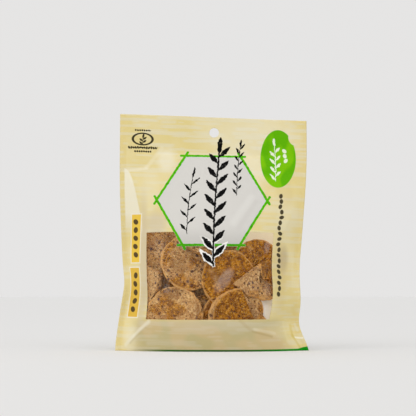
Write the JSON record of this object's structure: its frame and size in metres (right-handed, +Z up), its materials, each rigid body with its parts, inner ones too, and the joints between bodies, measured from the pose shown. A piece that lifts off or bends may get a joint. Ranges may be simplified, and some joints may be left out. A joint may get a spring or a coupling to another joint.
{
  "type": "stand-up pouch of rice crackers",
  "caption": "Sealed stand-up film pouch with a clear window, a hang hole and a bottom gusset, filled with thin round sesame rice crackers",
  "frame": {"origin": "centre of the box round the part, on the surface that the pouch stands on", "axes": "+Z up, -Y out of the printed front, +X to the right as seen from the front"},
  "size_m": [0.16, 0.0564, 0.1976],
  "materials": {
    "printed_film": "satin laminated film printed in cream yellow with pale brushed streaks",
    "clear_film": "clear glossy film of the window",
    "cracker": "toasted brown rice cracker, rough and speckled, with amber soy glaze patches",
    "sachet": "bare white paper-faced drying sachet with a fine embossed dot"
  },
  "bodies": {
    "root": {"pouch": "printed_film"}
  },
  "joints": []
}
